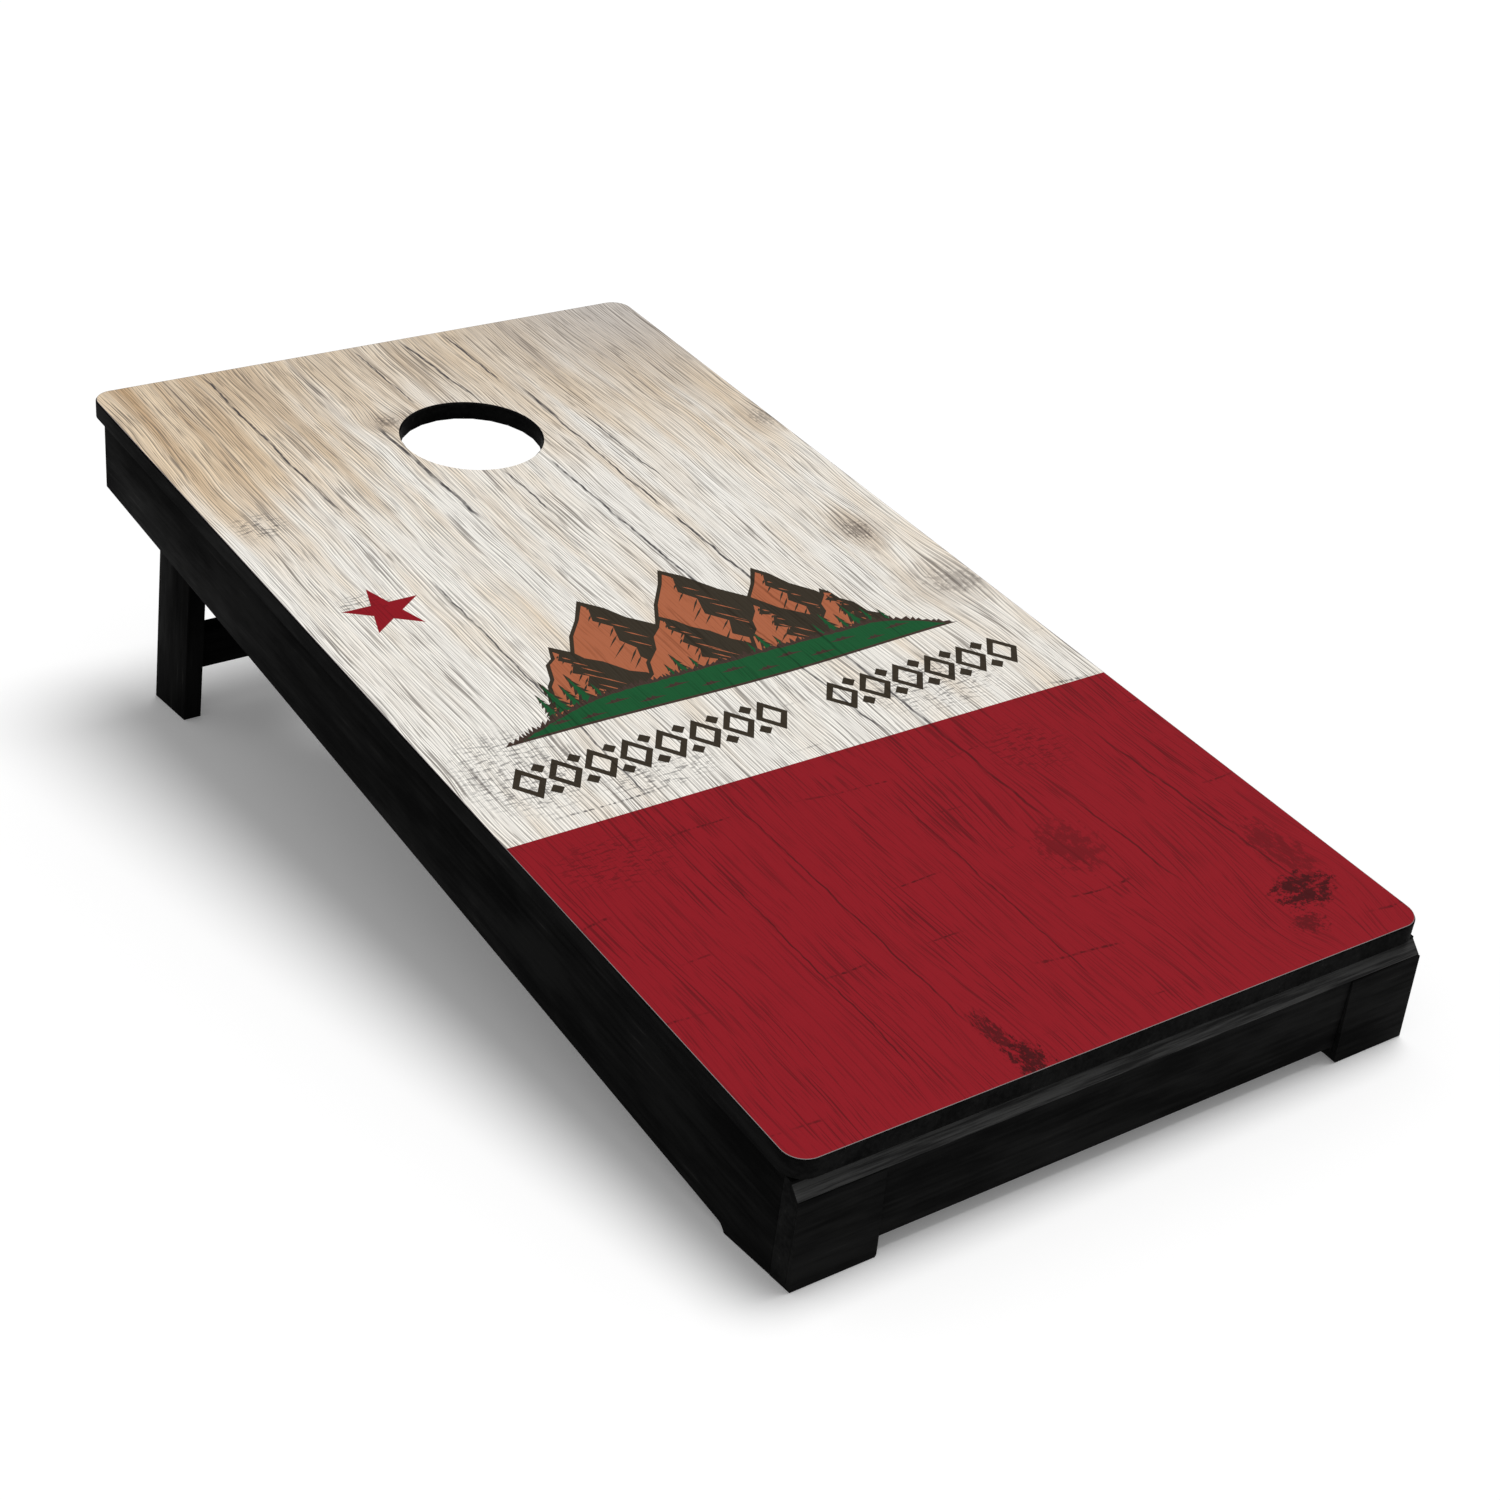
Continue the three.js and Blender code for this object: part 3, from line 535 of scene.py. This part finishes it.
def star(cx, cy, radius):
    """A star whose edges run straight from point to point, with one point up the deck."""
    turn = math.pi / STAR_POINTS
    inner = radius * math.cos(2 * turn) / math.cos(turn)
    outline = []
    for k in range(2 * STAR_POINTS):
        reach = radius if k % 2 == 0 else inner
        angle = math.pi / 2 + turn * k
        outline.append((cx + reach * math.cos(angle), cy + reach * math.sin(angle)))
    return outline


def jagged(start, end, pieces, swing):
    """A broken line from start to end that swings to either side, ends included."""
    (x0, y0), (x1, y1) = start, end
    length = math.hypot(x1 - x0, y1 - y0)
    nx, ny = -(y1 - y0) / length, (x1 - x0) / length
    points = [start]
    for k in range(1, pieces):
        t = (k + rng.uniform(-0.25, 0.25)) / pieces
        side = swing * (1 if k % 2 else -1) * rng.uniform(0.35, 1.0)
        points.append((x0 + (x1 - x0) * t + nx * side, y0 + (y1 - y0) * t + ny * side))
    points.append(end)
    return points


def spine_at(spine, y):
    """The point where a descending line of points crosses height y."""
    for (x0, y0), (x1, y1) in zip(spine, spine[1:]):
        if y1 <= y <= y0:
            t = (y0 - y) / max(y0 - y1, 1e-6)
            return x0 + (x1 - x0) * t, y
    return spine[-1]


def stroke(start, end, width):
    """A brush stroke that is widest near its start and comes to a point."""
    (x0, y0), (x1, y1) = start, end
    length = math.hypot(x1 - x0, y1 - y0)
    nx, ny = -(y1 - y0) / length * width / 2, (x1 - x0) / length * width / 2
    mx, my = x0 + (x1 - x0) * 0.35, y0 + (y1 - y0) * 0.35
    return [(x0, y0), (mx - nx, my - ny), (x1, y1), (mx + nx, my + ny)]


def peak(apex, left, right):
    """One mountain: its dark silhouette, its lit left flank and the strokes on both flanks."""
    top_x, top_y = apex
    height = top_y - MOUNTAIN_BASE
    ridge_left = jagged((left, MOUNTAIN_BASE), apex, 7, 2.6)
    ridge_right = jagged(apex, (right, MOUNTAIN_BASE), 7, 2.6)
    spine = jagged(apex, (top_x + (right - left) * 0.06, MOUNTAIN_BASE), 9, 6.5)
    lit = [(x + INK_LINE, y - INK_LINE * 0.35) for x, y in ridge_left[:-1]]
    lit.append((top_x - 0.5, top_y - 2.4 * INK_LINE))
    lit += [(x - 1.2, y - 1.5) for x, y in spine[1:]]
    layers = [(ridge_left + ridge_right[1:], "dark"), (lit, "brown")]

    # Dark strokes run down into the lit flank, and lit ones down the dark flank.
    for k in range(DARK_STROKES):
        t = (k + 1.2) / (DARK_STROKES + 1.5)
        x, y = spine_at(spine, top_y - t * height)
        reach = (0.20 + 0.25 * rng.random()) * (top_x - left) * t
        drop = reach * rng.uniform(0.75, 1.05)
        layers.append((stroke((x, y + 1.5), (x - reach, y - drop), 1.9), "dark"))
    for k in range(LIT_STROKES):
        t = (k + 2.0) / (LIT_STROKES + 3.0)
        x, y = spine_at(spine, top_y - t * height)
        reach = (0.30 + 0.35 * rng.random()) * (right - top_x) * t
        start = (x + 0.30 * reach, y - 0.2 * reach)
        end = (start[0] + reach * 0.8, start[1] - reach * 0.95)
        if end[1] > MOUNTAIN_BASE + 3:
            layers.append((stroke(start, end, 1.7), "brown"))
    return layers


def pine(x, height):
    """A conifer's outline: tiers of drooping branches on a short trunk."""
    trunk = height * 0.03
    left, right = [], []
    for k in range(PINE_TIERS):
        top = PINE_BASE + height * (1 - k / PINE_TIERS)
        low = max(PINE_BASE + height * (1 - (k + 1.25) / PINE_TIERS), PINE_BASE)
        spread = height * 0.24 * (k + 1) / PINE_TIERS
        neck = spread * 0.225 if k else 0
        right += [(x + neck, top), (x + spread, low + rng.uniform(-0.8, 0.8))]
        left += [(x - neck, top), (x - spread, low + rng.uniform(-0.8, 0.8))]
    foot = [(x + trunk, PINE_BASE + 2), (x + trunk, PINE_BASE - 5),
            (x - trunk, PINE_BASE - 5), (x - trunk, PINE_BASE + 2)]
    return right + foot + left[:0:-1]


def mountain_range():
    """A generic range of peaks with conifers along its foot."""
    layers = []
    for apex, left, right in MOUNTAINS:
        layers += peak(apex, left, right)
    heart = PINE_BASE + 3
    for x, height in PINES:
        layers.append((pine(x, height), "dark"))
        inner = [(x + (px - x) * 0.62, heart + (py - heart) * 0.86) for px, py in pine(x, height)]
        layers.append((inner, "green"))
    return layers


def ground_at(x):
    """How far along the ground strip x is, from 0 to 1, and its chord's height there."""
    (x0, y0), (x1, y1) = GROUND_LEFT, GROUND_RIGHT
    t = (x - x0) / (x1 - x0)
    return t, y0 + (y1 - y0) * t


def ground_crest(x):
    """The height of the strip's domed top edge."""
    t, chord = ground_at(x)
    rise = min(1.0, t / 0.30, (1 - t) / 0.17)
    return chord + GROUND_RISE * math.sin(rise * math.pi / 2) ** 1.15


def ground_sill(x):
    """The height of the strip's lower edge, which waves a little."""
    t, chord = ground_at(x)
    return chord - 3.0 * math.sin(math.pi * t) + 1.4 * math.sin(2.6 * math.pi * t)


def grass_edge():
    """Blades of grass along the strip's crest, from its right tip to its left."""
    points = []
    x = GROUND_RIGHT[0] - 6
    while x > GROUND_LEFT[0] + 8:
        points.append((x, ground_crest(x)))
        lean = rng.uniform(-1.6, 1.6)
        tall = rng.uniform(3.0, 8.0)
        points.append((x - 1.1 + lean, ground_crest(x) + tall))
        x -= rng.uniform(3.4, 7.5)
    return points


def ground_strip():
    """The tapered strip of ground: a dark rim with grass on it, green turf and small tufts."""
    x0, x1 = GROUND_LEFT[0], GROUND_RIGHT[0]
    grass = grass_edge()
    pieces = 24
    sill_places = [x0 + (x1 - x0) * k / pieces for k in range(pieces + 1)]
    sill = [(x, ground_sill(x)) for x in sill_places]
    turf_low = [(x, y + 3.2) for x, y in sill[1:-1]]
    turf_top = []
    x = x1 - 12
    while x > x0 + 16:
        turf_top.append((x, ground_crest(x) - 3.0 + rng.uniform(-0.6, 0.9)))
        x -= 4.5
    layers = [(sill + grass, "earth"), (turf_low + turf_top, "green")]
    tufts = 13
    for k in range(tufts):
        cx = x0 + (x1 - x0) * (0.13 + 0.75 * k / (tufts - 1))
        room = ground_crest(cx) - ground_sill(cx)
        cy = ground_sill(cx) + room * (0.35 if k % 2 else 0.62)
        half = rng.uniform(10.0, 15.0)
        layers.append(([(cx + half * across, cy + up) for across, up in TUFT], "earth"))
    return layers


def diamond(cx, cy, wide, tall):
    """An upright diamond, wide and tall measured from its centre."""
    return [(cx, cy - tall), (cx + wide, cy), (cx, cy + tall), (cx - wide, cy)]


def ornament_row():
    """Two runs of a plain border: hollow diamonds, with small solid ones between them."""
    layers = []
    middle = ORNAMENT_BOTTOM + ORNAMENT_HEIGHT / 2
    tall = ORNAMENT_HEIGHT / 2
    for start, end, count in ORNAMENT_RUNS:
        pitch = (end - start) / count
        wide = pitch / 2
        inner = 1 - ORNAMENT_WEIGHT * math.hypot(wide, tall) / (wide * tall)
        for k in range(count):
            cx = start + pitch * (k + 0.5)
            layers.append((diamond(cx, middle, wide - 0.8, tall), "dark"))
            layers.append((diamond(cx, middle, wide * inner, tall * inner), "planks"))
        for k in range(1, count):
            for rise in (-1, 1):
                cy = middle + rise * (tall - wide * 0.42)
                layers.append((diamond(start + pitch * k, cy, wide * 0.40, wide * 0.42), "dark"))
    return layers


def artwork():
    """All the printed layers, each over the ones before it."""
    edge = DECK_WIDTH / 2 + 5
    band = [(-edge, -5), (edge, -5), (edge, BAND_TOP), (-edge, BAND_TOP)]
    layers = [(band, "red"), (star(*STAR_CENTRE, STAR_RADIUS), "star")]
    return layers + mountain_range() + ground_strip() + ornament_row()


# ---- The wrap --------------------------------------------------------------------------


def inside(points, outline):
    """Which of the points lie inside an outline, by counting the edges they cross."""
    x, y = points[:, 0], points[:, 1]
    hit = np.zeros(len(points), bool)
    for (x0, y0), (x1, y1) in zip(outline, outline[1:] + outline[:1]):
        if y0 == y1:
            continue
        crossing = x0 + (y - y0) * (x1 - x0) / (y1 - y0)
        hit ^= ((y0 > y) != (y1 > y)) & (x < crossing)
    return hit


def cut_sheet(sheet, hem, hole, layers):
    """Triangles of the sheet outside the hole, each with the name of the topmost layer on it."""
    coords, edges = [], []
    for outline in [sheet, hem, hole] + [outline for outline, _ in layers]:
        first = len(coords)
        count = len(outline)
        coords += [Vector(p) for p in outline]
        edges += [(first + k, first + (k + 1) % count) for k in range(count)]
    verts, _, faces, *_ = delaunay_2d_cdt(coords, edges, [], 0, 1e-4)
    places = np.array([tuple(v) for v in verts])
    middles = places[np.array(faces)].mean(axis=1)
    names = np.full(len(faces), "edge", dtype=object)
    printed = inside(middles, hem)
    names[printed] = "planks"
    for outline, name in layers:
        names[inside(middles, outline) & printed] = name
    used = inside(middles, sheet) & ~inside(middles, hole)
    return verts, [(face, name) for face, name, use in zip(faces, names, used) if use]


def wrap_outline(inset):
    """The wrap's outline, inset from the deck's edges."""
    half = DECK_WIDTH / 2 - inset
    radius = WRAP_CORNER + WRAP_INSET - inset
    return rounded_rectangle(-half, inset, half, DECK_LENGTH - inset, radius)


def deck_matrix():
    """The deck frame: x across the deck, y up its slope, z off its top face."""
    low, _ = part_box("deck_wrap")
    turn = Matrix.Rotation(DECK_SLOPE, 4, "X")
    corner = turn @ Vector((0, WRAP_INSET, WRAP_LIFT)) * MM
    return Matrix.Translation(Vector((0, low.y - corner.y, low.z - corner.z))) @ turn


def wrap_mesh(materials):
    """The wrap's top face, cut along the artwork's outlines, with one material to each ink."""
    sheet = wrap_outline(WRAP_INSET)
    hem = wrap_outline(WRAP_INSET + WRAP_HEM)
    hole = circle(0, HOLE_Y, HOLE_RADIUS + WRAP_INSET)
    verts, faces = cut_sheet(sheet, hem, hole, artwork())

    mesh = bpy.data.meshes.new("printed_wrap")
    order = list(materials)
    for name in order:
        mesh.materials.append(materials[name])
    place = deck_matrix()
    top = WRAP_LIFT + WRAP_THICKNESS
    bm = bmesh.new()
    made = [bm.verts.new(place @ (Vector((v.x, v.y, top)) * MM)) for v in verts]
    uv = bm.loops.layers.uv.new("deck")
    for face, name in faces:
        new = bm.faces.new([made[i] for i in face])
        new.material_index = order.index(name)
        for loop, i in zip(new.loops, face):
            loop[uv].uv = (verts[i].x * MM, verts[i].y * MM)
    loose = [v for v in bm.verts if not v.link_faces]
    bmesh.ops.delete(bm, geom=loose, context="VERTS")
    bm.normal_update()
    bm.to_mesh(mesh)
    bm.free()
    return mesh


def build_wrap():
    """The printed vinyl, a thin solid sheet in place of the CAD's plain one."""
    group = plank_group()
    materials = {"planks": print_material("print_planks", group)}
    for name, ink in INKS.items():
        materials[name] = print_material(f"print_{name}", group, ink)
    materials["edge"] = vinyl_edge()
    wrap = bpy.data.objects.new("printed_wrap", wrap_mesh(materials))
    bpy.context.scene.collection.objects.link(wrap)
    solid = wrap.modifiers.new("thickness", "SOLIDIFY")
    solid.thickness = WRAP_THICKNESS * MM
    solid.offset = -1
    solid.material_offset = len(materials)
    solid.material_offset_rim = len(materials)
    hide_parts("deck_wrap")
    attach(wrap, "board")


# ---- Painted plywood and metal ---------------------------------------------------------


def painted_wood(name, slope, grain, tone=1.0, gloss=0.5, relief=0.06, highlight_toward=None):
    """Black paint over plywood, with brush drag and raised grain along one axis of a part
    that is turned by slope about X. grain is 0, 1 or 2 for the part's x, y or z. Faces that
    look along the given highlight direction get a painted highlight: lighter paint, streaked along
    the grain."""
    material, g = new_material(name)
    where = g.node("ShaderNodeTexCoord").outputs
    turned = g.node(
        "ShaderNodeVectorRotate",
        {"Vector": where["Object"], "Angle": -slope},
        rotation_type="X_AXIS",
    ).outputs[0]

    def stretched(pitch, length, seed, detail):
        scale = [1 / (pitch * MM)] * 3
        scale[grain] = 1 / (length * MM)
        mapped = g.node(
            "ShaderNodeMapping",
            {"Vector": turned, "Location": (seed, seed, seed), "Scale": scale},
        )
        noise = g.node(
            "ShaderNodeTexNoise",
            {"Vector": mapped.outputs[0], "Scale": 1.0, "Detail": detail, "Roughness": 0.6},
        )
        return noise.outputs[0]

    cloud = stretched(38, 120, 1.3, 4.0)
    drag = stretched(4.2, 95, 4.1, 3.0)
    fine = stretched(1.1, 38, 8.7, 3.0)
    shade = g.fit(g.weigh((cloud, 0.6), (drag, 0.4)), 0.38, 0.62)
    # tone makes this copy of the one black paint lighter or darker, as painted light and shade on
    # the part.
    colour = g.mix(shade, scaled(linear(PAINT_LOW), tone), scaled(linear(PAINT_HIGH), tone))
    scuffs = g.mul(g.fit(drag, 0.62, 0.74), g.fit(cloud, 0.5, 0.62))
    colour = g.mix(g.mul(scuffs, 0.35), colour, linear(PAINT_SCUFF))
    # Painted highlight: faces that look along the given direction, such as the front rail's
    # chamfer, get lighter paint where the light catches them.
    if highlight_toward is not None:
        facing = g.node(
            "ShaderNodeVectorMath", {0: where["Normal"], 1: highlight_toward}, operation="DOT_PRODUCT")
        painted_highlight = g.fit(facing.outputs["Value"], 0.94, 0.985)
        streaky = g.fit(g.weigh((drag, 0.6), (fine, 0.4)), 0.40, 0.60)
        colour = g.mix(painted_highlight, colour, g.mix(streaky, linear(HIGHLIGHT_LOW), linear(HIGHLIGHT_HIGH)))
    rough = g.fit(g.weigh((cloud, 0.5), (fine, 0.5)), 0.35, 0.65, gloss + 0.14, gloss - 0.06)
    height = g.weigh((drag, 0.55), (fine, 0.45))
    finish_material(g, colour, rough, height, bump_mm=relief, specular=PAINT_SPECULAR)
    return material


def metal(name, colour, roughness):
    """Plated or plain metal with fine turning marks and a little dulling."""
    material, g = new_material(name)
    marks = g.speckle(1400.0, 3.0)
    dull = g.speckle(160.0, 4.0)
    base = linear(colour)
    shade = g.mix(g.fit(dull, 0.35, 0.7), base, scaled(base, 0.75))
    rough = g.fit(dull, 0.3, 0.7, roughness - 0.06, roughness + 0.12)
    finish_material(g, shade, rough, marks, bump_mm=0.012, metallic=1.0)
    return material


def nylon():
    """Black moulded nylon, finely speckled."""
    material, g = new_material("black_nylon")
    speck = g.speckle(700.0, 3.0)
    colour = g.mix(speck, linear(NYLON_LOW), linear(NYLON_HIGH))
    finish_material(g, colour, 0.5, speck, bump_mm=0.02)
    return material


def smooth_group():
    """Geometry nodes that shade a mesh smooth, except across edges sharper than SMOOTH_ANGLE."""
    tree = bpy.data.node_groups.new("smooth_by_angle", "GeometryNodeTree")
    for way in ("INPUT", "OUTPUT"):
        tree.interface.new_socket("Geometry", in_out=way, socket_type="NodeSocketGeometry")
    g = Graph(tree)
    source = g.node("NodeGroupInput").outputs[0]
    angle = g.node("GeometryNodeInputMeshEdgeAngle").outputs[0]
    sharp = g.math("GREATER_THAN", angle, SMOOTH_ANGLE)
    faces = g.node("GeometryNodeSetShadeSmooth", {0: source, "Shade Smooth": True}, domain="FACE")
    edges = g.node(
        "GeometryNodeSetShadeSmooth",
        {0: faces.outputs[0], "Selection": sharp, "Shade Smooth": False},
        domain="EDGE",
    )
    g.node("NodeGroupOutput", {0: edges.outputs[0]})
    return tree


def dress(node, material, smooth, edge=0.0):
    """Gives a CAD node its material, smooth round faces and, if edge is set, eased edges."""
    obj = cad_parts[node]
    obj.data.materials.clear()
    obj.data.materials.append(material)
    weld = obj.modifiers.new("weld", "WELD")
    weld.merge_threshold = 0.01 * MM
    if edge:
        bevel = obj.modifiers.new("eased_edges", "BEVEL")
        bevel.width = edge * MM
        bevel.segments = 2
        bevel.limit_method = "ANGLE"
        bevel.angle_limit = EASED_ANGLE
    rounds = obj.modifiers.new("smooth_rounds", "NODES")
    rounds.node_group = smooth


def dress_all():
    """Gives every CAD node the material that its name calls for."""
    leg_slope = DECK_SLOPE + LEG_SPLAY
    # The front rail's chamfer faces this way, and the cross pieces get a painted highlight on
    # faces that look along it.
    front_chamfer = Matrix.Rotation(DECK_SLOPE, 3, "X") @ Vector((0, -1, 1)).normalized()
    # Every part has the same black paint; the tone values make lighter copies for the deck and the
    # cross pieces and darker ones for the legs and crossbar, as painted light and shade.
    deck = painted_wood("deck_paint", DECK_SLOPE, 1, tone=1.1, gloss=0.42, relief=0.03)
    along = painted_wood("rail_paint", DECK_SLOPE, 1)
    across = painted_wood("cross_paint", DECK_SLOPE, 0, tone=1.4, gloss=0.42, relief=0.10,
                          highlight_toward=front_chamfer)
    leg = painted_wood("leg_paint", leg_slope, 2, tone=0.75)
    bar = painted_wood("crossbar_paint", leg_slope, 0, tone=0.85)
    screw = metal("black_screw_steel", SCREW_STEEL, 0.42)
    zinc = metal("zinc_plate", ZINC, 0.28)
    brass = metal("insert_brass", BRASS, 0.3)
    plastic = nylon()
    rules = [
        ("deck_panel", deck, 0.0),
        ("front_rail", across, EASED_EDGE),
        ("front_foot_facing", across, EASED_EDGE),
        ("rear_rail", across, EASED_EDGE),
        ("middle_brace", across, EASED_EDGE),
        ("side_rail", along, EASED_EDGE),
        ("leg_stop_block", along, EASED_EDGE),
        ("leg_crossbar", bar, EASED_EDGE),
        ("leg_left", leg, EASED_EDGE),
        ("leg_right", leg, EASED_EDGE),
        ("threaded_insert", brass, 0.0),
        ("pivot_spacer", plastic, 0.0),
        ("pivot_washer", zinc, 0.0),
        ("pivot_bolt", zinc, 0.0),
    ]
    smooth = smooth_group()
    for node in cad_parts:
        if node == "deck_wrap":
            continue
        if "screw" in node:
            dress(node, screw, smooth)
            continue
        material, edge = next((m, e) for prefix, m, e in rules if node.startswith(prefix))
        dress(node, material, smooth, edge)


# ---- Floor, light and camera, in metres ------------------------------------------------

CAMERA_PLACE = Vector((-1.155, -1.770, 1.130))
CAMERA_AIM = Vector((-0.018, -0.127, 0.150))
CAMERA_ROLL = math.radians(0.8)
CAMERA_LENS = 62.55

FLOOR_SIZE = 40
FLOOR_HEIGHT = -0.0005
FLOOR_GLOW = 0.13
KEY_TOWARD = Vector((0.275, -0.01, 0.96))
KEY_SIZE = math.radians(32)
KEY_STRENGTH = 2.02
SURROUND_LIGHT = 0.34
WHITE = (1.0, 1.0, 1.0, 1.0)


def add_floor():
    """A wide pale floor just under the feet."""
    bpy.ops.mesh.primitive_plane_add(size=FLOOR_SIZE, location=(0, 0, FLOOR_HEIGHT))
    floor = bpy.context.object
    floor.name = "studio_floor"
    material, g = new_material("studio_floor")
    shader = g.node("ShaderNodeBsdfPrincipled", {
        "Base Color": (0.96, 0.96, 0.96, 1),
        "Roughness": 0.9,
        "Specular IOR Level": 0.1,
        "Emission Color": WHITE,
        "Emission Strength": FLOOR_GLOW,
    })
    g.node("ShaderNodeOutputMaterial", {"Surface": shader.outputs[0]})
    floor.data.materials.append(material)


def add_key_light():
    """A distant, broad and soft light from above and a little to the right."""
    data = bpy.data.lights.new("key", "SUN")
    data.angle = KEY_SIZE
    data.energy = KEY_STRENGTH
    light = bpy.data.objects.new("key", data)
    light.rotation_euler = KEY_TOWARD.to_track_quat("Z", "Y").to_euler()
    bpy.context.scene.collection.objects.link(light)


def add_world():
    """A dim white surround for the light, which the camera sees as plain white."""
    world = bpy.data.worlds.new("studio")
    world.use_nodes = True
    g = Graph(world.node_tree)
    seen = g.node("ShaderNodeLightPath").outputs["Is Camera Ray"]
    background = world.node_tree.nodes["Background"]
    g.feed(background.inputs["Color"], WHITE)
    g.feed(background.inputs["Strength"], g.fit(seen, 0.0, 1.0, SURROUND_LIGHT, 1.0))
    bpy.context.scene.world = world


def add_camera():
    """The camera, rolled slightly about its own axis."""
    data = bpy.data.cameras.new("camera")
    data.lens = CAMERA_LENS
    data.sensor_width = 36
    camera = bpy.data.objects.new("camera", data)
    look = (CAMERA_AIM - CAMERA_PLACE).to_track_quat("-Z", "Y").to_matrix()
    turned = look @ Matrix.Rotation(CAMERA_ROLL, 3, "Z")
    camera.matrix_world = Matrix.Translation(CAMERA_PLACE) @ turned.to_4x4()
    bpy.context.scene.collection.objects.link(camera)
    bpy.context.scene.camera = camera


build_wrap()
dress_all()
add_floor()
add_world()
add_key_light()
add_camera()
bpy.context.scene.view_settings.view_transform = "Standard"
